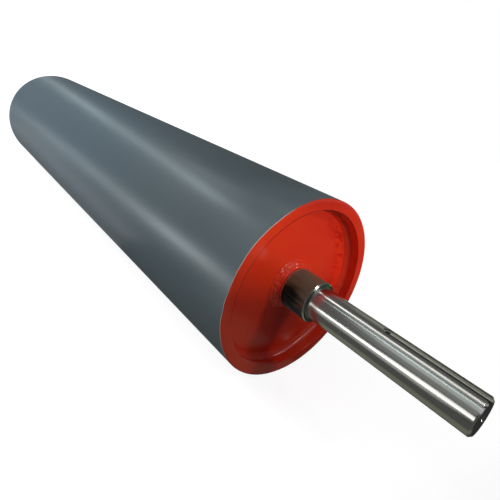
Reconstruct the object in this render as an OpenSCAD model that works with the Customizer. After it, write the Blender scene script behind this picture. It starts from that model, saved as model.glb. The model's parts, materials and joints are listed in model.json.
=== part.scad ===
// Rubber-lagged drive drum for a belt conveyor.
// A rolled steel shell closed by two welded end discs runs on one turned shaft,
// keyed at the drive end. The axis is Y, the drive end is at -Y and +Z passes
// through the keyway. The origin is the middle of the belt face.

/* [Drum face] */
// Diameter over the rubber cover
drum_d = 320; // [315:1:340]
// Length of the belt face
face_w = 1350; // [1100:50:1600]
// Thickness of the cover rubber
cover_t = 8; // [6:1:10]
// Thickness of the bonding layer under the cover
bond_t = 2; // [1:0.5:3]
// Wall of the steel shell
shell_t = 9; // [8:0.5:12]

/* [End discs] */
// Thickness of each end disc
disc_t = 16; // [12:1:20]
// Depth of each disc's outer face behind the shell's edge
disc_recess = 26; // [22:1:40]
// Thickness of each inner stiffening disc
stiffener_t = 12; // [11:1:16]

/* [Shaft] */
// Diameter of the bar through the drum
shaft_d = 70; // [66:1:80]
// Diameter of the keyed end
journal_d = 55; // [50:1:60]
// Extra diameter that the ground bearing seats keep over the keyed end
seat_fit = 0.02; // [0.01:0.01:0.03]
// Distance of each journal's shoulder beyond the shell's edge
shoulder_out = 38; // [20:1:60]
// Length of the drive end beyond the shell's edge
drive_out = 295; // [260:5:340]
// Length of the idle end beyond the shell's edge
idle_out = 130; // [110:5:160]
// Chamfer at both tips
tip_chamfer = 3; // [1:0.5:4]

/* [Keyway] */
// Width of the keyway
key_w = 16; // [12:1:18]
// Depth of the keyway
key_depth = 6; // [4:0.5:7]
// Length of the keyway, open at the shaft's tip
key_len = 145; // [100:5:170]

/* [Welds] */
// Leg of the rim welds on the disc and on the shell's bore
rim_leg = [8, 10];
// Leg of the outer hub welds on the disc and on the shaft
hub_leg = [14, 10.5];
// Leg of the welds inside the drum
inner_leg = 7; // [5:1:8]
// Number of runs in which each outer hub weld is laid
hub_runs = 3; // [1:1:4]
// Number of plug welds round each inner disc
plug_count = 8; // [4:1:12]
// Diameter of each plug weld
plug_d = 10; // [8:1:11]

/* [Hidden] */
$fn = 96;

drum_r = drum_d / 2;
bond_r = drum_r - cover_t;
shell_r = bond_r - bond_t;
bore_r = shell_r - shell_t;
shaft_r = shaft_d / 2;
journal_r = journal_d / 2;
seat_r = journal_r + seat_fit / 2;
half_face = face_w / 2;
// Outer and inner faces of the end discs, measured from the middle of the drum
disc_outer = half_face - disc_recess;
disc_inner = disc_outer - disc_t;
// The inner discs split the face into three equal bays
stiffener_y = face_w / 6;
// Radial gap that lets the inner discs slide into the shell
slide_gap = 0.5;
stiffener_r = bore_r - slide_gap;
cover_edge = 1.5;
shoulder_chamfer = 2;
root_fillet = 3;
// Length over which the bearing seat runs down to the keyed end
seat_taper = 1;
// Centre holes: pilot drill, countersink and its 60 degree cone
centre_pilot_d = 5;
centre_mouth_d = 12;
centre_depth = (centre_mouth_d - centre_pilot_d) / 2 / tan(30);
centre_pilot_len = 8;
// The seam's groove is narrow at the root and wide at the face
seam_root_w = 3;
seam_face_w = 12;
weld_bulge = 1;
// Share of the legs that the root of a weld fills below its last runs
weld_core = 0.8;
// Collared vent plug, its sealing ring and its place on the idle end disc
vent_radius = 92;
vent_angle = 35;
plug_thread_d = 12;
plug_collar_d = 17;
plug_collar_t = 3;
plug_len = 12;
plug_hex = 6;
plug_hex_depth = 6;
ring_d = 16;
ring_t = 1.5;
over = 1;

STEEL = [0.55, 0.54, 0.50];
DARK_STEEL = [0.25, 0.22, 0.20];
PAINT = [0.80, 0.20, 0.11];
RUBBER = [0.33, 0.38, 0.41];
BOND = [0.10, 0.10, 0.11];
COPPER = [0.72, 0.43, 0.28];

// Turns a profile of radius and length about the drum's axis
module turned() {
    rotate([-90, 0, 0]) rotate_extrude() children();
}

// A tube between two radii and two places on the axis
module ring(inner, outer, from, to) {
    turned() translate([inner, from]) square([outer - inner, to - from]);
}

// Puts a piece that is drawn for the idle end at the drive end instead
module at_drive_end() {
    mirror([0, 1, 0]) children();
}

// Section of a fillet weld in the corner at the origin, laid in a number of runs: each run's
// face is an arc that rises by the bulge over its share of the chord between the toes
module bead_section(legs, runs = 1, bulge = weld_bulge) {
    chord = norm(legs);
    run = chord / runs;
    face_r = (run * run / 4 + bulge * bulge) / (2 * bulge);
    along = [-legs[0], legs[1]] / chord;
    inward = [-legs[1], -legs[0]] / chord;
    intersection() {
        square(chord);
        for (i = [0 : runs - 1])
            translate([legs[0], 0] + along * (i + 0.5) * run + inward * (face_r - bulge))
                circle(face_r, $fn = 360);
    }
    polygon([[0, 0], [legs[0] * weld_core, 0], [0, legs[1] * weld_core]]);
}

// Weld on the axis side of a corner: it fills out from a shaft, towards larger radii
module hub_bead(radius, place, legs, side = 1, runs = 1) {
    turned() translate([radius, place]) scale([1, side]) bead_section(legs, runs);
}

module rubber_cover() {
    color(RUBBER) turned() difference() {
        translate([bond_r, -half_face]) square([cover_t, face_w]);
        for (end = [-1, 1])
            translate([drum_r, end * half_face]) rotate(45)
                square(cover_edge * sqrt(2), center = true);
    }
}

module bonding_layer() {
    color(BOND) ring(shell_r, bond_r, -half_face, half_face);
}

// The groove of the long seam, at the bottom of the shell
module seam_groove() {
    rotate([90, 0, 0]) linear_extrude(face_w + 2 * over, center = true)
        polygon([[-seam_root_w / 2, -bore_r + over], [seam_root_w / 2, -bore_r + over],
            [seam_face_w / 2, -shell_r - over], [-seam_face_w / 2, -shell_r - over]]);
}

// Radial plugs through the shell wall round the inner disc at a place on the axis
module plug_ring(place) {
    intersection() {
        for (i = [0 : plug_count - 1])
            rotate([0, (i + 0.5) * 360 / plug_count, 0]) translate([0, place, 0])
                cylinder(d = plug_d, h = drum_r);
        ring(stiffener_r, shell_r, place - plug_d, place + plug_d);
    }
}

module shell() {
    color(PAINT) difference() {
        ring(bore_r, shell_r, -half_face, half_face);
        seam_groove();
        for (side = [-1, 1])
            for (i = [0 : plug_count - 1])
                rotate([0, (i + 0.5) * 360 / plug_count, 0])
                    translate([0, side * stiffener_y, 0]) cylinder(d = plug_d, h = drum_r);
    }
}

module seam_weld() {
    color(STEEL) intersection() {
        ring(bore_r, shell_r, -half_face, half_face);
        seam_groove();
    }
}

module drive_plug_welds() {
    color(STEEL) plug_ring(-stiffener_y);
}

module idle_plug_welds() {
    color(STEEL) plug_ring(stiffener_y);
}

module drive_end_disc() {
    color(PAINT) ring(shaft_r, bore_r, -disc_outer, -disc_inner);
}

// Place of the vent hole on the idle end disc
module at_vent() {
    rotate([0, vent_angle, 0]) translate([0, 0, vent_radius]) children();
}

module idle_end_disc() {
    color(PAINT) difference() {
        ring(shaft_r, bore_r, disc_inner, disc_outer);
        at_vent() translate([0, disc_inner - over, 0]) rotate([-90, 0, 0])
            cylinder(d = plug_thread_d, h = disc_t + 2 * over);
    }
}

// Rim weld of the idle end: its corner is where the disc meets the bore
module rim_bead() {
    turned() translate([bore_r, disc_outer]) mirror([1, 0]) bead_section(rim_leg);
}

module drive_rim_weld() {
    color(PAINT) at_drive_end() rim_bead();
}

module idle_rim_weld() {
    color(PAINT) rim_bead();
}

module drive_hub_weld() {
    color(PAINT) at_drive_end() hub_bead(shaft_r, disc_outer, hub_leg, 1, hub_runs);
}

module idle_hub_weld() {
    color(PAINT) hub_bead(shaft_r, disc_outer, hub_leg, 1, hub_runs);
}

module drive_inner_weld() {
    color(STEEL) at_drive_end() hub_bead(shaft_r, disc_inner, [inner_leg, inner_leg], -1);
}

module idle_inner_weld() {
    color(STEEL) hub_bead(shaft_r, disc_inner, [inner_leg, inner_leg], -1);
}

module stiffener() {
    ring(shaft_r, stiffener_r, stiffener_y - stiffener_t / 2, stiffener_y + stiffener_t / 2);
}

module drive_stiffener() {
    color(STEEL) at_drive_end() stiffener();
}

module idle_stiffener() {
    color(STEEL) stiffener();
}

module stiffener_beads() {
    for (side = [-1, 1])
        hub_bead(shaft_r, stiffener_y + side * stiffener_t / 2, [inner_leg, inner_leg], side);
}

module drive_stiffener_welds() {
    color(STEEL) at_drive_end() stiffener_beads();
}

module idle_stiffener_welds() {
    color(STEEL) stiffener_beads();
}

// Profile of one journal: a ground seat from the shoulder, any steps after it as points of
// radius and place, then an end of a given radius out to the chamfered tip
module journal_section(shoulder, tip, end_r, steps = []) {
    polygon(concat([[0, shoulder - over], [seat_r, shoulder - over]], steps,
        [[end_r, tip - tip_chamfer], [end_r - tip_chamfer, tip], [0, tip]]));
    translate([seat_r, shoulder]) difference() {
        square(root_fillet);
        translate([root_fillet, root_fillet]) circle(root_fillet);
    }
}

// Centre hole that opens at a tip on the idle side
module centre_hole(tip) {
    turned() polygon([[0, tip + over], [centre_mouth_d / 2, tip + over], [centre_mouth_d / 2, tip],
        [centre_pilot_d / 2, tip - centre_depth], [centre_pilot_d / 2, tip - centre_depth - centre_pilot_len],
        [0, tip - centre_depth - centre_pilot_len - centre_pilot_d / 4]]);
}

// Keyway of the drive end, round at its inner end and open at the tip
module keyway(tip) {
    full_from = tip - key_len + key_w / 2;
    floor_z = journal_r - key_depth;
    translate([0, -full_from, floor_z]) cylinder(d = key_w, h = key_depth + over);
    translate([-key_w / 2, -tip - over, floor_z]) cube([key_w, tip + over - full_from, key_depth + over]);
}

module shaft() {
    shoulder = half_face + shoulder_out;
    drive_tip = half_face + drive_out;
    idle_tip = half_face + idle_out;
    // The bearing seat ends half a key's width before the keyway, in a short taper
    seat_end = drive_tip - key_len - key_w / 2;
    color(DARK_STEEL) difference() {
        turned() {
            polygon([[0, -shoulder], [shaft_r - shoulder_chamfer, -shoulder],
                [shaft_r, -shoulder + shoulder_chamfer], [shaft_r, shoulder - shoulder_chamfer],
                [shaft_r - shoulder_chamfer, shoulder], [0, shoulder]]);
            journal_section(shoulder, idle_tip, seat_r);
            mirror([0, 1]) journal_section(shoulder, drive_tip, journal_r,
                [[seat_r, seat_end], [journal_r, seat_end + seat_taper]]);
        }
        centre_hole(idle_tip);
        at_drive_end() centre_hole(drive_tip);
        keyway(drive_tip);
    }
}

module vent_ring() {
    color(COPPER) at_vent() translate([0, disc_outer, 0]) rotate([-90, 0, 0]) difference() {
        cylinder(d = ring_d, h = ring_t);
        translate([0, 0, -over]) cylinder(d = plug_thread_d, h = ring_t + 2 * over);
    }
}

module vent_plug() {
    seat = disc_outer + ring_t;
    color(STEEL) at_vent() translate([0, seat, 0]) rotate([-90, 0, 0]) difference() {
        union() {
            cylinder(d = plug_collar_d, h = plug_collar_t);
            translate([0, 0, -plug_len]) cylinder(d = plug_thread_d, h = plug_len + over);
        }
        translate([0, 0, plug_collar_t - plug_hex_depth])
            cylinder(d = plug_hex / cos(30), h = plug_hex_depth + over, $fn = 6);
    }
}

rubber_cover();
bonding_layer();
shell();
seam_weld();
drive_end_disc();
idle_end_disc();
drive_rim_weld();
idle_rim_weld();
drive_hub_weld();
idle_hub_weld();
drive_inner_weld();
idle_inner_weld();
drive_stiffener();
idle_stiffener();
drive_stiffener_welds();
idle_stiffener_welds();
drive_plug_welds();
idle_plug_welds();
shaft();
vent_plug();
vent_ring();
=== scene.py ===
import json
import math
import bmesh
import bpy
from mathutils import Matrix, Quaternion, Vector


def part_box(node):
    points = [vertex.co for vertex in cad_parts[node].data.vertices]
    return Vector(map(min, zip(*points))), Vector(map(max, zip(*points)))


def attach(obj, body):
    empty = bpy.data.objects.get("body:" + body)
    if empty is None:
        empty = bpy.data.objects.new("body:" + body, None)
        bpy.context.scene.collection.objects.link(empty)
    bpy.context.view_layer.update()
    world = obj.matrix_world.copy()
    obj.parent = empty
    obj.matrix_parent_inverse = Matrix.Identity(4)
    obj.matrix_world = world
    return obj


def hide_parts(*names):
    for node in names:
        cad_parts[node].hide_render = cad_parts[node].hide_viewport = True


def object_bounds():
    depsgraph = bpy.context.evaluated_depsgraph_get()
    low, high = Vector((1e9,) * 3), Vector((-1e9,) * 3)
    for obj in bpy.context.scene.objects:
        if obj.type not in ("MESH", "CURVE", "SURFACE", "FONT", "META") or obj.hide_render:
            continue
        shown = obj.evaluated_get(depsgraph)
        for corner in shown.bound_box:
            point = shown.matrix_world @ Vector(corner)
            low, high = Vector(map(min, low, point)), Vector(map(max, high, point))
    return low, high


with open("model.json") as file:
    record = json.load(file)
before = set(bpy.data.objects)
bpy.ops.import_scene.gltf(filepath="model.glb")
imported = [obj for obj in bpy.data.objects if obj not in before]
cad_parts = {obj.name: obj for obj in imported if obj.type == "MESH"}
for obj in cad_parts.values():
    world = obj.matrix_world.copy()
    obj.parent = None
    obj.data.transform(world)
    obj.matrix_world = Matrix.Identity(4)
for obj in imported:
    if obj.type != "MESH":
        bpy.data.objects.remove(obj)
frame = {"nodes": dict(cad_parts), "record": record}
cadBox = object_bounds()
mounts = {m["name"]: m for m in frame["record"]["mounts"]}


# Places along the drum's axis, which is Y, and radii from it, all in metres
def radiusOf(node):
    low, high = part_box(node)
    return max(high.x, high.z, -low.x, -low.z)


def journalRadius(name):
    return mounts[name]["dims"]["r_mm"] / 1000


driveTip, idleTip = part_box("shaft")[0].y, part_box("shaft")[1].y
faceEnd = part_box("rubber_cover")[1].y                 # half the belt face
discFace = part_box("idle_end_disc")[1].y               # outer face of the end discs
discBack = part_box("idle_end_disc")[0].y
shoulderY = mounts["idle_shoulder"]["pos_m"][1]
coverR = radiusOf("rubber_cover")
bondR = radiusOf("bonding_layer")
shellR = radiusOf("shell")
boreR = radiusOf("idle_end_disc")
barR = radiusOf("shaft")
endR = journalRadius("drive_journal")
seatR = journalRadius("idle_journal")
keyMiddle = mounts["drive_keyway"]["pos_m"]           # middle of the keyway's floor
keyLength = 2 * (keyMiddle[1] - driveTip)
turn = 2 * math.pi
axisY = (0, 1, 0)


# Edit mode works by place: pick what lies somewhere, then call an operator on it
def startPiece():
    if bpy.context.mode != "OBJECT":
        bpy.ops.object.mode_set(mode="OBJECT")
    bpy.ops.object.select_all(action="DESELECT")


def pick(kind, test):
    mesh = bmesh.from_edit_mesh(bpy.context.edit_object.data)
    mode = {"verts": "VERT", "edges": "EDGE", "faces": "FACE"}[kind]
    mesh.select_mode = {mode}
    bpy.context.tool_settings.mesh_select_mode = [mode == m for m in ("VERT", "EDGE", "FACE")]
    for part in (mesh.verts, mesh.edges, mesh.faces):
        for item in part:
            item.select = False
    for item in getattr(mesh, kind):
        if test(item):
            item.select_set(True)
    bmesh.update_edit_mesh(bpy.context.edit_object.data)


def radial(point):
    return math.hypot(point.x, point.z)


def near(a, b, reach=2e-5):
    return abs(a - b) < reach


def edgeAt(edge, radius, place):
    return all(near(radial(v.co), radius) and near(v.co.y, place) for v in edge.verts)


def closeAndFaceOut(gap=2e-6):
    bpy.ops.mesh.select_all(action="SELECT")
    bpy.ops.mesh.remove_doubles(threshold=gap)
    bpy.ops.mesh.normals_make_consistent(inside=False)
    bpy.ops.object.mode_set(mode="OBJECT")


def modify(piece, kind, **settings):
    modifier = piece.modifiers.new(kind.title(), kind)
    for key, value in settings.items():
        setattr(modifier, key, value)
    bpy.ops.object.modifier_apply(modifier=modifier.name)


def joinPieces(pieces):                               # into the first of them
    startPiece()
    for piece in pieces:
        piece.select_set(True)
    bpy.context.view_layer.objects.active = pieces[0]
    if len(pieces) > 1:
        bpy.ops.object.join()
    return pieces[0]


# Puts a finished piece in the place of the node that it shows; creases stay over the given angle
def settle(piece, node, material, smoothBelow=32):
    startPiece()
    piece.select_set(True)
    bpy.context.view_layer.objects.active = piece
    bpy.ops.object.transform_apply(location=True, rotation=True, scale=True)
    bpy.ops.object.shade_smooth_by_angle(angle=math.radians(smoothBelow))
    piece.data.materials.clear()
    piece.data.materials.append(material)
    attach(piece, "root")
    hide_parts(node)


# Starts a turned piece from its section, a plane beside the axis
def startSection(name, inner, outer, start, end):
    startPiece()
    middle = ((inner + outer) / 2, (start + end) / 2, 0)
    bpy.ops.mesh.primitive_plane_add(size=1, location=middle)
    piece = bpy.context.object
    piece.name = name
    bpy.ops.object.transform_apply(location=True, rotation=True, scale=True)
    bpy.ops.object.mode_set(mode="EDIT")
    bpy.ops.transform.resize(value=(outer - inner, end - start, 1), center_override=middle)
    return piece


def softenCorner(x, y, size, segments=1, profile=0.5):
    pick("verts", lambda v: near(v.co.x, x) and near(v.co.y, y))
    bpy.ops.mesh.bevel(offset=size, segments=segments, profile=profile, affect="VERTICES")


def spinSection(steps, angle=turn):
    bpy.ops.mesh.select_all(action="SELECT")
    bpy.ops.mesh.delete(type="ONLY_FACE")
    bpy.ops.mesh.select_all(action="SELECT")
    bpy.ops.mesh.spin(steps=steps, angle=angle, center=(0, 0, 0), axis=axisY)


def cutAway(piece, cutter):
    startPiece()
    bpy.context.view_layer.objects.active = piece
    modify(piece, "BOOLEAN", operation="DIFFERENCE", object=cutter, solver="EXACT")
    bpy.data.objects.remove(cutter)


# A link between shader nodes that can be used in sums
class Value:
    def __init__(self, finish, socket):
        self.finish = finish
        self.socket = socket

    def math(self, operation, first, second=None):
        inputs = {0: first} if second is None else {0: first, 1: second}
        return self.finish.node("ShaderNodeMath", {"operation": operation}, inputs)

    def __add__(self, other):
        return self.math("ADD", self, other)

    def __sub__(self, other):
        return self.math("SUBTRACT", self, other)

    def __rsub__(self, other):
        return self.math("SUBTRACT", other, self)

    def __mul__(self, other):
        return self.math("MULTIPLY", self, other)

    def __pow__(self, other):
        return self.math("POWER", self, other)

    def size(self):                                   # the value without its sign
        return self.math("ABSOLUTE", self)

    def over(self, limit, soft):                      # 0 below the limit, 1 above it
        return self.finish.ramp(self, limit - soft, limit + soft)

    def under(self, limit, soft):
        return 1 - self.over(limit, soft)


# The node tree of one material, or of the world
class Finish:
    def __init__(self, owner):
        owner.use_nodes = True
        self.owner = owner
        self.nodes = owner.node_tree.nodes
        self.links = owner.node_tree.links
        self.nodes.clear()

    def node(self, kind, settings=None, inputs=None, output=0):
        made = self.nodes.new(kind)
        for key, value in (settings or {}).items():
            setattr(made, key, value)
        for key, value in (inputs or {}).items():
            if isinstance(value, Value):
                self.links.new(value.socket, made.inputs[key])
            else:
                made.inputs[key].default_value = value
        return Value(self, made.outputs[output]) if len(made.outputs) else made

    def place(self):
        return self.node("ShaderNodeTexCoord", output="Object")

    def parts(self, vector):
        split = self.node("ShaderNodeSeparateXYZ", inputs={0: vector})
        outputs = split.socket.node.outputs
        return [Value(self, outputs[i]) for i in range(3)]

    def joined(self, x, y, z):
        return self.node("ShaderNodeCombineXYZ", inputs={0: x, 1: y, 2: z})

    def ramp(self, value, low, high, start=0.0, end=1.0):
        settings = {"interpolation_type": "SMOOTHSTEP"}
        return self.node("ShaderNodeMapRange", settings, {0: value, 1: low, 2: high, 3: start, 4: end})

    def noise(self, vector, scale, detail=3.0, roughness=0.5, distortion=0.0):
        inputs = {"Vector": vector, "Scale": scale, "Detail": detail,
                  "Roughness": roughness, "Distortion": distortion}
        return self.node("ShaderNodeTexNoise", {"noise_dimensions": "3D"}, inputs, "Fac")

    def mix(self, share, first, second):
        settings = {"data_type": "RGBA", "blend_type": "MIX"}
        return self.node("ShaderNodeMix", settings, {0: share, 6: first, 7: second}, 2)

    def bump(self, height, distance, strength=1.0, under=None):
        inputs = {"Height": height, "Distance": distance, "Strength": strength}
        if under:
            inputs["Normal"] = under
        return self.node("ShaderNodeBump", {}, inputs, "Normal")

    def shader(self, **inputs):
        named = {key.replace("_", " "): value for key, value in inputs.items()}
        return self.node("ShaderNodeBsdfPrincipled", {}, named)

    def lay(self, share, below, above):               # one surface laid over another
        return self.node("ShaderNodeMixShader", inputs={0: share, 1: below, 2: above})

    def done(self, surface):
        self.node("ShaderNodeOutputMaterial", {}, {"Surface": surface})
        return self.owner


def newFinish(name):
    return Finish(bpy.data.materials.new(name))


def outFrom(x, y):                                    # distance from the axis that both leave
    return (x * x + y * y) ** 0.5


def shade(red, green, blue):                          # a colour given as on a paint chart, 0 to 255
    def linear(c):
        c /= 255
        return c / 12.92 if c <= 0.04045 else ((c + 0.055) / 1.055) ** 2.4
    return (linear(red), linear(green), linear(blue), 1.0)


cameraView = {
    "place": (-0.4947, -1.0360, 0.2803),
    "aim": (0.1749, -0.3629, -0.0336),
    "roll": 14.55,            # degrees
    "lens": 29.25,            # millimetres
    "shift": (-0.0128, -0.0373),
}


def setCamera(settings):
    data = bpy.data.cameras.new("camera")
    camera = bpy.data.objects.new("camera", data)
    bpy.context.scene.collection.objects.link(camera)
    place, aim = Vector(settings["place"]), Vector(settings["aim"])
    camera.rotation_mode = "QUATERNION"
    level = (aim - place).to_track_quat("-Z", "Y")
    camera.rotation_quaternion = level @ Quaternion((0, 0, 1), math.radians(settings["roll"]))
    camera.location = place
    data.lens = settings["lens"]
    data.shift_x, data.shift_y = settings["shift"]
    data.clip_start = 0.01
    bpy.context.scene.camera = camera


setCamera(cameraView)
print("camera set")


floorLook = {
    "reach": 30.0,            # metres each way
    "bright": 0.72,           # share of plain white, the rest takes the light and the shadow
    "fades": (1.1, 2.4),      # how far out the floor turns all white
    "white": 1.25,
    "paint": (0.88, 0.88, 0.88, 1.0),
    "bounce": (0.30, 0.30, 0.30, 1.0),
    "sky": 0.055,             # how strongly the backdrop lights the drum
}


def seenRays(finish):                                 # 1 for camera, mirror and glass rays
    path = finish.node("ShaderNodeLightPath")
    names = ("Is Camera Ray", "Is Glossy Ray", "Is Transmission Ray")
    camera, glossy, through = (Value(finish, path.socket.node.outputs[name]) for name in names)
    return camera.math("MAXIMUM", camera.math("MAXIMUM", camera, glossy), through)


def makeFloor(look):
    startPiece()
    bpy.ops.mesh.primitive_plane_add(size=2 * look["reach"], location=(0, 0, cadBox[0].z))
    floor = bpy.context.object
    floor.name = "studio_floor"
    finish = newFinish("floor_paint")
    lit = finish.node("ShaderNodeBsdfDiffuse", inputs={"Color": look["paint"]})
    white = finish.node("ShaderNodeEmission", inputs={"Strength": look["white"]})
    x, y, z = finish.parts(finish.place())
    away = finish.ramp(outFrom(x, y), *look["fades"], look["bright"], 1.0)
    dull = finish.node("ShaderNodeBsdfDiffuse", inputs={"Color": look["bounce"]})
    surface = finish.lay(seenRays(finish), dull, finish.lay(away, lit, white))
    floor.data.materials.append(finish.done(surface))

    world = bpy.data.worlds.new("backdrop")
    bpy.context.scene.world = world
    sky = Finish(world)
    strength = sky.node("ShaderNodeMapRange", {}, {0: seenRays(sky), 3: look["sky"], 4: 1.0})
    back = sky.node("ShaderNodeBackground", inputs={"Color": (1, 1, 1, 1), "Strength": strength})
    sky.node("ShaderNodeOutputWorld", inputs={"Surface": back})


makeFloor(floorLook)


# facing is the way a lamp or card looks, along is the way its long side runs
def turnTo(facing, along):
    back = -Vector(facing).normalized()
    length = Vector(along).normalized()
    side = length.cross(back).normalized()
    length = back.cross(side)
    return Matrix((side, length, back)).transposed().to_quaternion()


lamps = {
    # strips that show as the streaks on rubber and steel
    "sideStrip": {"place": (-1.00, 1.62, -0.095), "facing": (1, 0, 0), "along": (-0.12, 1, -0.02),
                  "width": 0.12, "length": 4.15, "bright": 3.2, "colour": (0.90, 0.98, 1.0)},
    "nearStrip": {"place": (-1.00, -0.66, 0.0), "facing": (1, 0, 0), "along": (0, -1, 0.62),
                  "width": 0.26, "length": 0.55, "bright": 1.7},
    "ceilingStrip": {"place": (0.1, 5.0, 2.0), "facing": (0, 0, -1), "along": (0.26, 1, 0),
                     "width": 0.42, "length": 7.8, "bright": 2.2, "colour": (0.84, 0.99, 1.0)},
    "nearCeilingStrip": {"place": (-0.25, 1.25, 2.0), "facing": (0, 0, -1), "along": (0, 1, 0),
                         "width": 0.30, "length": 0.9, "bright": 2.2},
    "topStrip": {"place": (-0.05, -0.45, 1.9), "facing": (0, 0, -1), "along": (0, 1, 0),
                 "width": 0.28, "length": 1.6, "bright": 1.9},
    "coolStrip": {"place": (-0.92, -0.45, 1.89), "facing": (0.92, 0, -1.89), "along": (0, 1, 0),
                  "width": 0.12, "length": 1.0, "bright": 2.3, "colour": (0.82, 0.97, 1.0)},
    # the box at the front that glints on the paint of the welds
    "glintBox": {"place": (0.45, -2.60, 1.66), "facing": (-0.43, 1.94, -1.66), "along": (1, 0, 0),
                 "width": 0.26, "length": 0.24, "bright": 52.0},
    # the soft box that lights the cover, the key at the upper right that lights the end, and
    # a weaker box at the upper left
    "fillBox": {"place": (-1.85, 2.4, 1.9), "facing": (1.85, 0, -1.9), "along": (0, 1, 0),
                "width": 1.8, "length": 5.0, "bright": 3.75, "mirrored": False},
    "keyBox": {"place": (0.5, -3.6, 0.7), "facing": (-0.5, 2.95, -0.7), "along": (-0.951, 0, 0.309),
               "width": 0.42, "length": 1.2, "bright": 35.0, "mirrored": False},
    "leftBox": {"place": (-0.6, -2.6, 2.1), "facing": (0.6, 1.95, -2.1), "along": (1, 0, 0),
                "width": 1.2, "length": 1.2, "bright": 1.6, "mirrored": False},
}


def hangLamps(rows):
    for name, lamp in rows.items():
        data = bpy.data.lights.new(name, "AREA")
        data.shape = "RECTANGLE"
        data.size, data.size_y = lamp["width"], lamp["length"]
        data.energy = lamp["bright"] * math.pi * lamp["width"] * lamp["length"]
        data.color = lamp.get("colour", (1, 1, 1))
        hung = bpy.data.objects.new(name, data)
        bpy.context.scene.collection.objects.link(hung)
        hung.location = lamp["place"]
        hung.rotation_mode = "QUATERNION"
        hung.rotation_quaternion = turnTo(lamp["facing"], lamp["along"])
        hung.visible_camera = False
        hung.visible_glossy = lamp.get("mirrored", True)


hangLamps(lamps)

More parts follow.
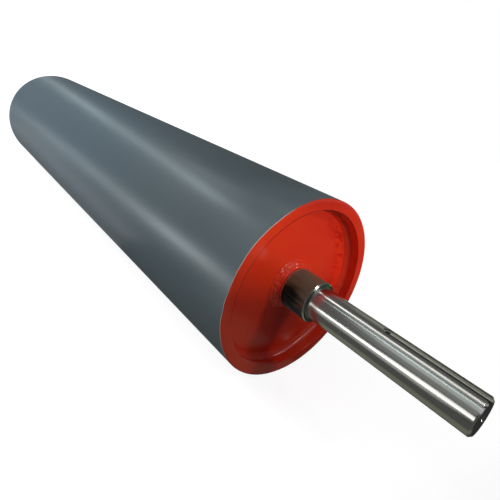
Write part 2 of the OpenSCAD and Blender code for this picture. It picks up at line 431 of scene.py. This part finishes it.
# Cards stand round the drum as black flags stand round steel in a studio. Mirror rays alone
# meet them, but for the two flags: one keeps the key off the lower half of the end, the other
# keeps the front lamps off the cover. A one-sided card is clear from behind.
cards = {
    "overheadCard": {"place": (0, 1.5, 2.6), "facing": (0, 0, -1), "along": (0, 1, 0),
                     "width": 8.0, "length": 14.0, "grey": 0.12},
    "endCard": {"place": (0, 9.2, 1.2), "facing": (0, -1, 0), "along": (0, 0, 1),
                "width": 8.0, "length": 3.2, "grey": 0.12},
    "frontCard": {"place": (0, -5.2, 1.2), "facing": (0, 1, 0), "along": (0, 0, 1),
                  "width": 9.0, "length": 3.6, "grey": 0.07},
    "leftCard": {"place": (-3.6, 1.5, 1.3), "facing": (1, 0, 0), "along": (0, 1, 0),
                 "width": 2.6, "length": 14.0, "grey": 0.12},
    "rightCard": {"place": (3.6, 1.5, 1.3), "facing": (-1, 0, 0), "along": (0, 1, 0),
                  "width": 2.6, "length": 14.0, "grey": 0.12},
    "floorCard": {"place": (1.4, -1.9, -0.158), "facing": (0, 0, 1), "along": (0, 1, 0),
                  "width": 4.2, "length": 3.4, "grey": 0.10},
    "rightFloorCard": {"place": (1.775, -1.9, -0.157), "facing": (0, 0, 1), "along": (0, 1, 0),
                       "width": 3.45, "length": 3.4, "grey": 0.05},
    "leftFloorCard": {"place": (-2.0, -2.96, -0.157), "facing": (0, 0, 1), "along": (0, 1, 0),
                      "width": 3.4, "length": 4.4, "grey": 0.07},
    "farFloorCard": {"place": (0.0, 4.5, -0.158), "facing": (0, 0, 1), "along": (0, 1, 0),
                     "width": 7.2, "length": 9.4, "grey": 0.24},
    "paleFloorCard": {"place": (-0.27, 0.55, -0.154), "facing": (0, 0, 1), "along": (0, 1, 0),
                      "width": 0.12, "length": 1.5, "grey": 0.60},
    # thin bright lines that the cover mirrors near the drive end
    "upperLineCard": {"place": (-0.80, 2.05, 1.98), "facing": (0, 0, -1), "along": (0.268, 1, 0),
                      "width": 0.12, "length": 1.5, "grey": 4.2, "tint": (0.84, 0.99, 1.0)},
    "nearLineCard": {"place": (-0.99, 1.25, 1.96), "facing": (0, 0, -1), "along": (0.268, 1, 0),
                     "width": 0.24, "length": 0.75, "grey": 12.0, "tint": (0.84, 0.99, 1.0)},
    "lowerLineCard": {"place": (-0.88, 0.06, -0.04), "facing": (1, 0, 0), "along": (-0.12, 1, 0),
                      "width": 0.07, "length": 0.52, "grey": 12.0, "tint": (0.90, 0.98, 1.0)},
    # tones that the journal and the shaft's tip mirror
    "oliveCard": {"place": (-0.018, -0.88, -0.156), "facing": (0, 0, 1), "along": (0, 1, 0),
                  "width": 0.125, "length": 0.46, "grey": 0.20, "tint": (1.0, 1.02, 0.82)},
    "skirtCard": {"place": (-0.55, -0.655, -0.153), "facing": (0, 0, 1), "along": (0, 1, 0),
                  "width": 0.44, "length": 0.41, "grey": 0.42},
    "lowSoftCard": {"place": (-1.90, -0.58, 1.14), "facing": (1.90, 0, -1.14), "along": (0, 1, 0),
                    "width": 0.8, "length": 0.98, "grey": 0.28, "tint": (0.94, 1.0, 1.02)},
    "softCard": {"place": (-1.35, -0.58, 1.75), "facing": (1.35, 0, -1.75), "along": (0, 1, 0),
                 "width": 0.8, "length": 0.98, "grey": 0.62, "tint": (0.94, 1.0, 1.02)},
    "highSoftCard": {"place": (-0.52, -0.58, 1.95), "facing": (0.52, 0, -1.95), "along": (0, 1, 0),
                     "width": 0.5, "length": 0.98, "grey": 0.36, "tint": (0.90, 1.0, 1.04)},
    "rightSoftCard": {"place": (1.25, -0.30, 0.95), "facing": (-1.25, 0, -0.95), "along": (0, 1, 0),
                      "width": 0.8, "length": 0.45, "grey": 0.34, "tint": (0.97, 1.0, 0.90)},
    "tipCard": {"place": (0.15, -3.2, 0.75), "facing": (0, 1, -0.2), "along": (1, 0, 0),
                "width": 0.8, "length": 1.0, "grey": 0.80, "tint": (1.0, 0.96, 1.08)},
    # a grey veil and two bright lines in front of the end, seen from the shaft's side alone,
    # keep the red out of the ground steel beside the shoulder
    "veilCard": {"place": (-0.07, -0.668, 0), "facing": (0, -1, 0), "along": (0, 0, 1),
                 "width": 0.15, "length": 0.28, "grey": 0.11, "oneSided": True},
    "sideVeilLine": {"place": (-0.126, -0.669, 0.004), "facing": (0, -1, 0), "along": (1, 0, 0),
                     "width": 0.028, "length": 0.06, "grey": 1.9, "oneSided": True},
    "topVeilLine": {"place": (-0.004, -0.669, 0.126), "facing": (0, -1, 0), "along": (0, 0, 1),
                    "width": 0.020, "length": 0.06, "grey": 1.7, "oneSided": True},
    "keyFlag": {"place": (-0.069, -1.20, -0.369), "facing": (0, -1, 0), "along": (0.309, 0, 0.951),
                "width": 1.6, "length": 1.05, "grey": 0.0, "flag": True},
    "coverFlag": {"place": (0, -0.72, 0.80), "facing": (0, -1, 0), "along": (0, 0, 1),
                  "width": 2.4, "length": 1.24, "grey": 0.0, "flag": True},
}


def standCards(rows):
    for name, card in rows.items():
        startPiece()
        bpy.ops.mesh.primitive_plane_add(size=1)
        stood = bpy.context.object
        stood.name = name
        stood.scale = (card["width"], card["length"], 1)
        stood.rotation_mode = "QUATERNION"
        stood.rotation_quaternion = turnTo(card["facing"], card["along"])
        stood.location = card["place"]
        finish = newFinish(name + "_cloth")
        glow = finish.node("ShaderNodeEmission", inputs={
            "Color": (*card.get("tint", (1, 1, 1)), 1.0), "Strength": card["grey"]})
        if card.get("oneSided"):
            front = finish.node("ShaderNodeNewGeometry", output="Backfacing")    # it looks along -Z
            glow = finish.lay(front, finish.node("ShaderNodeBsdfTransparent"), glow)
        stood.data.materials.append(finish.done(glow))
        stood.visible_camera = False
        stood.visible_diffuse = False
        stood.visible_glossy = not card.get("flag", False)
        stood.visible_shadow = card.get("flag", False)
        stood.visible_transmission = False


standCards(cards)
print("floor, lamps and cards placed")


rubberLook = {
    "body": shade(86, 103, 114),
    # painted light: the warmer tint of the light at the drive end
    "warm": shade(88, 100, 104),
    "rough": (0.31, 0.37),    # at the drive end, and from the middle on
    "arris": shade(196, 188, 178),
    "arrisBand": (0.0001, 0.0011),    # how far past the paint the painted highlight on the arris starts and stops
    "border": 0.0004,         # where the end paint stops, past the arris onto the cover
    "wander": 0.010,          # how far the brush strays either way
}
enamelLook = {
    "body": shade(216, 53, 22),
    "cool": shade(212, 45, 22),
    "deep": shade(186, 22, 12),       # in the brush marks
    "marks": (0.112, 0.130),          # radii that the brush marks keep to
    "marksRight": 0.055,              # and how far right of the axis they start
    "wall": shade(248, 60, 28),       # painted light, brighter on the wall of the bore and its weld
    "wallFrom": 0.1325,               # radius
    "thin": shade(118, 26, 18),       # painted shade on the upper edge of the bore
    "thinWidth": 0.0008,
    "rough": 0.24,
}
beadEnamel = {**enamelLook, "rough": 0.10}
steelLook = {
    "body": (0.66, 0.66, 0.64, 1.0),
    "stain": (0.50, 0.49, 0.44, 1.0),
    "rough": (0.14, 0.20),            # ground clean, and stained
    "turned": (0.23, 0.24, 0.21, 1.0),
    "turnedRough": 0.32,
    "turnedBand": (-0.0003, 0.0028),  # where the turned shoulder starts and stops, from its face
    "tipBand": 0.0006,                # how far the turned tip reaches round its edge
    "milled": (0.62, 0.63, 0.56, 1.0),
    # painted shade: dark on the upper part of the keyway's walls
    "wall": (0.13, 0.135, 0.105, 1.0),
    "wallFrom": 0.0027,               # height over the keyway's floor
    # painted shade on the keyway's floor
    "oily": (0.020, 0.024, 0.020, 1.0),
    "milledRough": 0.5,
    "dab": shade(46, 92, 48),
    "dabPlace": (0.011, -0.7145, 0.0320),
    "dabR": 0.0065,
    "dabRough": 0.4,
}
scaleLook = {
    "body": shade(12, 7, 6),
    # worn streaks, and painted sheen that makes the top paler
    "worn": shade(114, 104, 84),
    "edge": shade(150, 128, 116),     # beside the paint
    "edgeWidth": 0.0022,
    "lap": 0.0125,            # how far the end paint laps past the disc's face along the boss
    "wander": 0.004,          # how far that lap strays
    "rough": 0.36,
    "shine": 0.22,
}
plateLook = {"body": (0.36, 0.34, 0.32, 1.0), "rough": 0.45}
weldLook = {"body": (0.42, 0.40, 0.38, 1.0), "rough": 0.38}
gumLook = {"body": (0.03, 0.03, 0.035, 1.0), "rough": 0.7, "metal": 0.0}
zincLook = {"body": (0.55, 0.56, 0.55, 1.0), "rough": 0.35}
copperLook = {"body": (0.72, 0.36, 0.22, 1.0), "rough": 0.3}
paintFrom = discFace - 0.002                          # paint starts just inside the discs' faces


def enamelShader(finish, place, look):
    x, y, z = finish.parts(place)
    radius = outFrom(x, z)
    fromEnd = faceEnd - y.size()
    broad = finish.noise(place, 7.0, 2.0)
    colour = finish.mix(finish.ramp(broad, 0.40, 0.62), look["body"], look["cool"])
    # brush marks lie deep in the corner on the right
    marks = finish.noise(finish.joined(x * 30.0, y * 30.0, z * 75.0), 1.0, 4.0, 0.6)
    inner, outer = look["marks"]
    corner = radius.over(inner, 0.018) * radius.under(outer, 0.003) * x.over(look["marksRight"], 0.03)
    colour = finish.mix(finish.ramp(marks, 0.47, 0.60) * corner, colour, look["deep"])
    # painted light: the wall of the bore and its weld are painted brighter at the upper right, where light
    # falls on them
    wall = radius.over(look["wallFrom"], 0.002) * fromEnd.over(0.001, 0.0006) * z.over(-0.02, 0.03)
    colour = finish.mix(wall * finish.ramp(x, 0.02, 0.09), colour, look["wall"])
    # painted shade: a dark line along the upper edge of the bore
    offEdge = (radius - boreR - 0.0006).size()
    edgeShadeMask = offEdge.under(look["thinWidth"], 0.0005) * fromEnd.under(0.003, 0.002)
    colour = finish.mix(edgeShadeMask * finish.ramp(z - x * 0.5, 0.03, 0.10), colour, look["thin"])
    flow = finish.noise(place, 55.0, 2.0)
    peel = finish.noise(place, 700.0, 1.0)
    bump = finish.bump(peel, 0.00004, 0.4, finish.bump(flow, 0.0004, 0.35))
    return finish.shader(Base_Color=colour, Roughness=look["rough"], Normal=bump)


def metalShader(finish, place, look):
    stain = finish.noise(place, 35.0, 4.0)
    dark = tuple(0.6 * c for c in look["body"][:3]) + (1.0,)
    return finish.shader(Base_Color=finish.mix(stain, look["body"], dark),
                         Metallic=look.get("metal", 1.0), Roughness=look["rough"])


def coverRubber(look):
    finish = newFinish("cover_rubber")
    place = finish.place()
    x, y, z = finish.parts(place)
    pastArris = (faceEnd - y.size()) - (coverR - outFrom(x, z))
    stray = (finish.noise(place, 14.0, 4.0, 0.6) - 0.5) * look["wander"] + look["border"]
    past = pastArris - stray
    starts, stops = look["arrisBand"]
    # painted highlight: a pale line along the arris on the left side, where the light catches the edge
    leftSide = finish.ramp(0 - x, 0.05, 0.11)
    arris = past.over(starts, 0.0002) * past.under(stops, 0.0003) * leftSide
    # painted light: the cover takes a warmer tint towards the drive end, the colour of the light there
    body = finish.mix(finish.ramp(y, -0.75, 0.10), look["warm"], look["body"])
    body = finish.mix(arris, body, look["arris"])
    grain = finish.noise(place, 400.0, 3.0)
    bare = finish.shader(Base_Color=body, Roughness=finish.ramp(y, -0.65, 0.0, *look["rough"]),
                         Normal=finish.bump(grain, 0.00004, 0.5))
    painted = past.under(0.0, 0.0002)
    return finish.done(finish.lay(painted, bare, enamelShader(finish, place, enamelLook)))


# Bare inside the drum and enamelled outside, from a given place on the axis to the ends
def enamelledSteel(name, fromY, bare, coat=enamelLook):
    finish = newFinish(name)
    place = finish.place()
    x, y, z = finish.parts(place)
    outside = y.size().over(fromY, 0.0003)
    return finish.done(finish.lay(outside, metalShader(finish, place, bare),
                                  enamelShader(finish, place, coat)))


# Ground journals, turned at the shoulders and the tips
def journalShader(finish, place, look):
    x, y, z = finish.parts(place)
    along = y.size()
    rings = finish.noise(finish.joined(0.0, y * 1400.0, 0.0), 1.0, 2.0)
    smear = finish.noise(finish.joined(x * 60.0, y * 9.0, z * 60.0), 1.0, 3.0)
    scuffs = finish.noise(finish.joined(x * 260.0, y * 70.0, z * 260.0), 1.0, 3.0)
    ground = finish.shader(
        Base_Color=finish.mix(smear, look["body"], look["stain"]), Metallic=1.0,
        Roughness=finish.ramp(smear, 0.3, 0.7, *look["rough"]),
        Normal=finish.bump(rings, 0.000006, 0.3, finish.bump(scuffs, 0.000008, 0.35)))
    turned = finish.shader(Base_Color=look["turned"], Metallic=1.0, Roughness=look["turnedRough"],
                           Normal=finish.bump(rings, 0.00002, 0.8))
    starts, stops = (shoulderY + edge for edge in look["turnedBand"])
    onShoulder = along.over(starts, 0.0002) * along.under(stops, 0.0006)
    onTip = along.over(-driveTip - look["tipBand"], 0.0003)
    return finish.lay(onShoulder + onTip, ground, turned)


# The milled keyway, pale where milled, with painted shade: dark on the upper part of its walls, and near
# black on its floor, all but a strip beside the far wall, and at its round end
def layKeyway(finish, place, look, metal):
    x, y, z = finish.parts(place)
    floor = keyMiddle[2]
    # painted shade on the keyway's floor, the part that its walls shade
    inCorner = x.under(0.0050, 0.0006) + y.over(driveTip + keyLength - 0.007, 0.001)
    onFloor = z.under(floor + 0.0006, 0.0005) * finish.ramp(inCorner, 0.0, 1.0)
    # painted shade: the upper part of the walls is dark
    colour = finish.mix(z.over(floor + look["wallFrom"], 0.0004), look["milled"], look["wall"])
    milled = finish.shader(Base_Color=finish.mix(onFloor, colour, look["oily"]),
                           Roughness=look["milledRough"])
    below = finish.ramp(outFrom(x, z), endR - 0.0004, endR - 0.0008)
    beside = z.over(floor - 0.001, 0.0005) * (0 - y).over(-driveTip - keyLength - 0.001, 0.0004)
    return finish.lay(below * beside, metal, milled)


# Mill scale on the boss, with pale worn streaks and a painted sheen that is palest on top, darker beside
# the disc, with the end paint lapped over it
def bossShader(finish, place, scale, stray):
    x, y, z = finish.parts(place)
    along = y.size()
    pits = finish.noise(place, 260.0, 4.0)
    streaks = finish.noise(finish.joined(x * 110.0, y * 9.0, z * 110.0), 1.0, 2.0)
    grime = finish.noise(finish.joined(x * 50.0, y * 26.0, z * 50.0), 1.0, 4.0)
    nearEnd = along.over(shoulderY - 0.018, 0.016)
    paintedSheen = z * 9.5 - x * 2.0                         # painted sheen: paler on the upper side and towards -x, where the light falls
    worn = finish.ramp(streaks * 0.55 + grime * 0.35 + paintedSheen + nearEnd * 0.14, 0.50, 0.78)
    lapEnd = discFace + scale["lap"]
    colour = finish.mix(worn, scale["body"], scale["worn"])
    colour = finish.mix(along.under(lapEnd + scale["edgeWidth"], 0.0006), colour, scale["edge"])
    bare = finish.shader(Base_Color=colour, Roughness=scale["rough"], Specular_IOR_Level=scale["shine"],
                         Normal=finish.bump(pits, 0.0002, 0.4))
    painted = (along + stray).under(lapEnd, 0.0003)
    return finish.lay(painted, bare, enamelShader(finish, place, enamelLook))


def shaftSteel(look, scale):
    finish = newFinish("shaft_steel")
    place = finish.place()
    x, y, z = finish.parts(place)
    metal = layKeyway(finish, place, look, journalShader(finish, place, look))
    stray = (finish.noise(place, 60.0, 2.0) - 0.5) * scale["wander"]
    isBoss = y.size().under(shoulderY - 0.0021, 0.0002)
    surface = finish.lay(isBoss, metal, bossShader(finish, place, scale, stray))
    # a small green patch on the shoulder, with a wandering edge
    dab = finish.shader(Base_Color=look["dab"], Roughness=look["dabRough"])
    patchX, patchY, patchZ = (part - centre for part, centre in zip((x, y, z), look["dabPlace"]))
    reach = (patchX * patchX + patchY * patchY + patchZ * patchZ) ** 0.5 + stray
    return finish.done(finish.lay(reach.under(look["dabR"], 0.0012), surface, dab))


def plainMetal(name, look):
    finish = newFinish(name)
    return finish.done(metalShader(finish, finish.place(), look))


rubber = coverRubber(rubberLook)
discPaint = enamelledSteel("disc_enamel", paintFrom, plateLook)
beadPaint = enamelledSteel("bead_enamel", paintFrom, weldLook, beadEnamel)
gumPaint = enamelledSteel("gum_enamel", faceEnd - 0.0006, gumLook)
steel = shaftSteel(steelLook, scaleLook)
plate = plainMetal("bare_plate", plateLook)
weldMetal = plainMetal("weld_metal", weldLook)
zinc = plainMetal("zinc_plate", zincLook)
copper = plainMetal("copper_ring", copperLook)
print("materials made")


tubeCuts = {
    "steps": 256,             # flats round the drum
    "coverEdge": 0.0015,
    "boreEdge": 0.0005,
    "seamRoot": 0.003,        # groove of the long seam, narrow at the bore
    "seamFace": 0.012,
    "plugs": 8,
    "plugR": 0.005,
}


def makeTube(name, inner, outer, steps, innerEdge=0, outerEdge=0):
    piece = startSection(name, inner, outer, -faceEnd, faceEnd)
    for end in (-faceEnd, faceEnd):
        for radius, edge in ((inner, innerEdge), (outer, outerEdge)):
            if edge:
                softenCorner(radius, end, edge, 3)
    spinSection(steps)
    closeAndFaceOut()
    return piece


# A wedge along the bottom of the shell, as wide as the groove of the long seam
def seamCutter(cuts):
    startPiece()
    middle = (0, 0, -(boreR + shellR) / 2)
    bpy.ops.mesh.primitive_cube_add(size=1, location=middle)
    cutter = bpy.context.object
    bpy.ops.object.transform_apply(location=True, rotation=True, scale=True)
    bpy.ops.object.mode_set(mode="EDIT")
    spare = 0.001                                     # makes the wedge deeper and longer than the wall
    wall = shellR - boreR
    slope = (cuts["seamFace"] - cuts["seamRoot"]) / (wall + 2 * spare)
    root = cuts["seamRoot"] - slope * spare
    face = cuts["seamFace"] + slope * spare
    bpy.ops.transform.resize(value=(root, 2 * faceEnd + 20 * spare, wall + 4 * spare),
                             center_override=middle)
    pick("faces", lambda f: f.normal.z < -0.9)
    bpy.ops.transform.resize(value=(face / root, 1, 1), center_override=middle)
    closeAndFaceOut()
    return cutter


# A ring of pegs for the plug holes at one inner disc
def plugCutter(cuts, place):
    startPiece()
    deep = 0.03
    made = []
    for i in range(cuts["plugs"]):
        angle = (i + 0.5) * turn / cuts["plugs"]
        bpy.ops.mesh.primitive_cylinder_add(
            vertices=40, radius=cuts["plugR"], depth=deep, rotation=(0, angle, 0),
            location=(boreR * math.sin(angle), place, boreR * math.cos(angle)))
        made.append(bpy.context.object)
    cutter = joinPieces(made)
    bpy.ops.object.transform_apply(location=True, rotation=True, scale=True)
    return cutter


def makeTubes(cuts):
    steps = cuts["steps"]
    sleeve = makeTube("cover_sleeve", bondR, coverR, steps, outerEdge=cuts["coverEdge"])
    settle(sleeve, "rubber_cover", rubber)
    gum = makeTube("bonding_sleeve", shellR, bondR, steps)
    settle(gum, "bonding_layer", gumPaint)
    tube = makeTube("shell_tube", boreR, shellR, steps, innerEdge=cuts["boreEdge"])
    cutAway(tube, seamCutter(cuts))
    low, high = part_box("idle_stiffener")
    for side in (-1, 1):                              # the drive end, then the idle end
        cutAway(tube, plugCutter(cuts, side * (low.y + high.y) / 2))
    settle(tube, "shell", discPaint)


makeTubes(tubeCuts)
print("tubes made")


shaftCuts = {
    "steps": 192,             # flats round the shaft
    "shoulderChamfer": 0.002,
    "rootFillet": 0.003,
    "tipChamfer": 0.003,
    "mouthR": 0.006,          # centre hole, a cone that ends in a pilot
    "mouthAngle": 60,         # degrees, across the cone
    "pilotR": 0.0025,
    "pilotDepth": 0.008,
    "keyWidth": 0.016,
    "keyEdge": 0.0004,
}


def pickCap(side, place):                             # the round face that looks along the axis
    pick("faces", lambda f: f.normal.y * side > 0.99 and near(f.calc_center_median().y, place)
         and len(f.verts) > 8)


def bevelRing(radius, place, size, segments):
    pick("edges", lambda e: edgeAt(e, radius, place))
    bpy.ops.mesh.bevel(offset=size, segments=segments, affect="EDGES")


# Draws a journal out of the bar's end, drills its centre hole and breaks its edges
def drawJournal(side, journalR, tip, cuts):
    shoulder = side * shoulderY
    pickCap(side, shoulder)
    bpy.ops.mesh.inset(thickness=barR - journalR, depth=0)
    bpy.ops.mesh.extrude_region_move(TRANSFORM_OT_translate={"value": (0, tip - shoulder, 0)})
    bpy.ops.mesh.inset(thickness=journalR - cuts["mouthR"], depth=0)
    cone = (cuts["mouthR"] - cuts["pilotR"]) / math.tan(math.radians(cuts["mouthAngle"] / 2))
    bpy.ops.mesh.extrude_region_move(TRANSFORM_OT_translate={"value": (0, -side * cone, 0)})
    shrink = cuts["pilotR"] / cuts["mouthR"]
    bpy.ops.transform.resize(value=(shrink, 1, shrink), center_override=(0, tip, 0))
    bpy.ops.mesh.extrude_region_move(TRANSFORM_OT_translate={"value": (0, -side * cuts["pilotDepth"], 0)})
    bevelRing(journalR, tip, cuts["tipChamfer"], 1)
    bevelRing(barR, shoulder, cuts["shoulderChamfer"], 1)
    bevelRing(journalR, shoulder, cuts["rootFillet"], 6)


# A block as wide as the key, round at its inner end, that stands out of the journal and its tip
def keyCutter(cuts):
    startPiece()
    deep = 0.02
    spare = 0.01
    size = (cuts["keyWidth"], keyLength + spare, deep)
    middle = (0, driveTip + (keyLength - spare) / 2, keyMiddle[2] + deep / 2)
    bpy.ops.mesh.primitive_cube_add(size=1, location=middle)
    cutter = bpy.context.object
    bpy.ops.object.transform_apply(location=True, rotation=True, scale=True)
    bpy.ops.object.mode_set(mode="EDIT")
    bpy.ops.transform.resize(value=size, center_override=middle)
    inner = driveTip + keyLength
    pick("edges", lambda e: all(near(v.co.y, inner) for v in e.verts)
         and near(e.verts[0].co.x, e.verts[1].co.x))
    hair = 1e-5                                       # keeps the two rounds apart
    bpy.ops.mesh.bevel(offset=cuts["keyWidth"] / 2 - hair, segments=20, affect="EDGES")
    closeAndFaceOut()
    return cutter


def makeShaft(cuts):
    startPiece()
    bpy.ops.mesh.primitive_cylinder_add(vertices=cuts["steps"], radius=barR, depth=2 * shoulderY,
                                        rotation=(math.pi / 2, 0, 0))
    shaft = bpy.context.object
    shaft.name = "turned_shaft"
    bpy.ops.object.transform_apply(location=True, rotation=True, scale=True)
    bpy.ops.object.mode_set(mode="EDIT")
    drawJournal(1, seatR, idleTip, cuts)
    drawJournal(-1, endR, driveTip, cuts)
    closeAndFaceOut()
    cutAway(shaft, keyCutter(cuts))
    bpy.ops.object.mode_set(mode="EDIT")
    # the two long upper edges of the keyway, from the tip's chamfer to the start of the round
    reach = 1e-4
    sharp = 0.6                                       # radians between two faces
    start = driveTip + cuts["tipChamfer"] - reach
    end = driveTip + keyLength - cuts["keyWidth"] / 2 + reach
    pick("edges", lambda e: len(e.link_faces) == 2 and e.calc_face_angle() > sharp
         and all(near(radial(v.co), endR, reach) and v.co.z > keyMiddle[2] for v in e.verts)
         and all(start < v.co.y < end for v in e.verts))
    bpy.ops.mesh.bevel(offset=cuts["keyEdge"], segments=2, affect="EDGES")
    bpy.ops.object.mode_set(mode="OBJECT")
    settle(shaft, "shaft", steel)


makeShaft(shaftCuts)
print("shaft made")


discCuts = {"steps": 192, "edge": 0.0008, "ventR": 0.006}


# A peg for the vent hole, where the plug stands
def ventCutter(radius):
    startPiece()
    low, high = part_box("vent_plug")
    deep = 0.06
    bpy.ops.mesh.primitive_cylinder_add(vertices=48, radius=radius, depth=deep,
                                        rotation=(math.pi / 2, 0, 0), location=(low + high) / 2)
    cutter = bpy.context.object
    bpy.ops.object.transform_apply(location=True, rotation=True, scale=True)
    return cutter


# The end discs and the inner discs, turned to the size of the node each stands for
def makeDiscs(cuts):
    for node in ("drive_end_disc", "idle_end_disc", "drive_stiffener", "idle_stiffener"):
        low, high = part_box(node)
        outer = radiusOf(node)
        piece = startSection(node + "_turned", barR, outer, low.y, high.y)
        for end in (low.y, high.y):
            softenCorner(outer, end, cuts["edge"])
            softenCorner(barR, end, cuts["edge"])
        spinSection(cuts["steps"])
        closeAndFaceOut()
        if node == "idle_end_disc":
            cutAway(piece, ventCutter(cuts["ventR"]))
        if node.endswith("end_disc"):
            settle(piece, node, discPaint)
        else:
            settle(piece, node, plate)


makeDiscs(discCuts)
print("discs made")


# The legs of each kind of weld on the disc and along the wall, the runs it is laid in, how full
# each run is, how far it dips into what is below, the pitch of its ripples and how they stand
beadLooks = {
    "rim": {"legs": (0.008, 0.010), "runs": 1, "full": 0.33, "sink": 0.001, "pitch": 0.0036,
            "columns": 5, "rows": 8, "rise": 0.05, "chevron": 0.0016, "lumps": 0.0012, "lumpSize": 0.016},
    "hub": {"legs": (0.014, 0.0105), "runs": 3, "full": 0.40, "sink": 0.002, "pitch": 0.0062,
            "columns": 7, "rows": 6, "rise": 0.035, "chevron": 0.0026, "lumps": 0.0034, "lumpSize": 0.006},
    "inner": {"legs": (0.007, 0.007), "runs": 1, "full": 0.34, "sink": 0.001, "pitch": 0.0040,
              "columns": 4, "rows": 6, "rise": 0.08, "chevron": 0.0018, "lumps": 0.0012, "lumpSize": 0.010},
}


# One ripple of a run: its section is spun through the ripple's pitch, the columns between are
# lifted away from the corner, and the rows are drawn out round the axis
def drawRipple(radius, place, legs, step, look):
    almostAll = 0.999                                 # one bevel turns the square into a bead's section
    softenCorner(1, 1, almostAll, look["rows"], look["full"])
    bpy.ops.mesh.select_all(action="SELECT")
    bpy.ops.transform.resize(value=(legs[0], legs[1], 1), center_override=(0, 0, 0))
    bpy.ops.transform.translate(value=(radius, place, 0))
    columns = look["columns"]
    spinSection(columns, step)

    def around(vertex):
        return math.atan2(vertex.co.z, vertex.co.x)

    def upFace(vertex):                               # 0 at one toe, a quarter turn at the other
        return math.atan2(abs(vertex.co.y - place), abs(radial(vertex.co) - radius))

    lean = 0.7                                        # a ripple rises fast and falls slowly
    for column in range(1, columns):
        angle = step * column / columns
        lift = 1 + look["rise"] * math.sin(math.pi * (column / columns) ** lean)
        pick("verts", lambda v: near(around(v), angle, step / columns / 4))
        bpy.ops.transform.resize(value=(lift, lift, lift), center_override=(
            radius * math.cos(angle), place, radius * math.sin(angle)))
    bands = 11
    atToe = 1e-5
    for band in range(bands):
        low, high = (turn / 4 * (band + i) / bands for i in range(2))
        pick("verts", lambda v: low < upFace(v) <= high and abs(radial(v.co) - radius) > atToe)
        pull = look["chevron"] / radius * math.sin(low + high)
        bpy.ops.transform.rotate(value=pull, orient_axis="Y", center_override=(0, 0, 0))


# One run of a weld in the corner at a radius and a place, growing towards toR and toY
def makeRun(name, cornerR, cornerY, toR, toY, legs, look):
    sink = look["sink"]
    count = round(turn * (cornerR + toR * legs[0] / 2) / look["pitch"])
    step = turn / count
    bead = startSection(name, 0, 1, 0, 1)
    drawRipple(cornerR - toR * sink, cornerY - toY * sink,
               (toR * (legs[0] + sink), toY * (legs[1] + sink)), step, look)
    bpy.ops.object.mode_set(mode="OBJECT")
    gap = 2e-5                                        # below this, ripples join
    turner = bpy.data.objects.new("bead_turner", None)
    bpy.context.scene.collection.objects.link(turner)
    turner.rotation_euler = (0, -step, 0)
    bpy.context.view_layer.update()
    modify(bead, "ARRAY", count=count, use_relative_offset=False, use_object_offset=True,
           offset_object=turner, use_merge_vertices=True, use_merge_vertices_cap=True,
           merge_threshold=gap)
    bpy.data.objects.remove(turner)
    clouds = bpy.data.textures.new(name + "_lumps", "CLOUDS")
    clouds.noise_scale = look["lumpSize"]
    modify(bead, "DISPLACE", texture=clouds, strength=look["lumps"], mid_level=0.5)
    bpy.ops.object.mode_set(mode="EDIT")
    closeAndFaceOut(gap)
    return bead


# The runs of a weld climb from the toe on the disc to the toe on the wall
def makeRuns(name, cornerR, cornerY, toR, toY, look):
    runs = look["runs"]
    along, up = (leg / runs for leg in look["legs"])
    return [makeRun(name, cornerR + toR * along * (runs - 1 - run), cornerY + toY * up * run,
                    toR, toY, (along, up), look) for run in range(runs)]


def settleRuns(runs, node, material, smoothBelow=50):
    settle(joinPieces(runs), node, material, smoothBelow)


def makeBeads(looks):
    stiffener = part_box("idle_stiffener")
    for side, end in ((-1, "drive"), (1, "idle")):
        rim = makeRuns(end + "_rim_bead", boreR, side * discFace, -1, side, looks["rim"])
        settleRuns(rim, end + "_rim_weld", beadPaint)
        hub = makeRuns(end + "_hub_bead", barR, side * discFace, 1, side, looks["hub"])
        settleRuns(hub, end + "_hub_weld", beadPaint)
        inner = makeRuns(end + "_inner_bead", barR, side * discBack, 1, -side, looks["inner"])
        settleRuns(inner, end + "_inner_weld", weldMetal)
        pair = [bead for face, out in ((stiffener[0], -1), (stiffener[1], 1))
                for bead in makeRuns(end + "_stiffener_bead", barR, side * face.y, 1, side * out,
                                     looks["inner"])]
        settleRuns(pair, end + "_stiffener_welds", weldMetal)


makeBeads(beadLooks)
print("beads made")

# Filled grooves and holes, and the small vent plug, keep their own shape and take a finish
nodeFinishes = {
    "seam_weld": discPaint, "drive_plug_welds": weldMetal, "idle_plug_welds": weldMetal,
    "vent_plug": zinc, "vent_ring": copper,
}


def finishNodes(finishes):
    for name, material in finishes.items():
        node = frame["nodes"][name]
        node.data.materials.clear()
        node.data.materials.append(material)


finishNodes(nodeFinishes)
print("seam, plugs, vent plug and ring finished")

bpy.context.scene.view_settings.view_transform = "Standard"
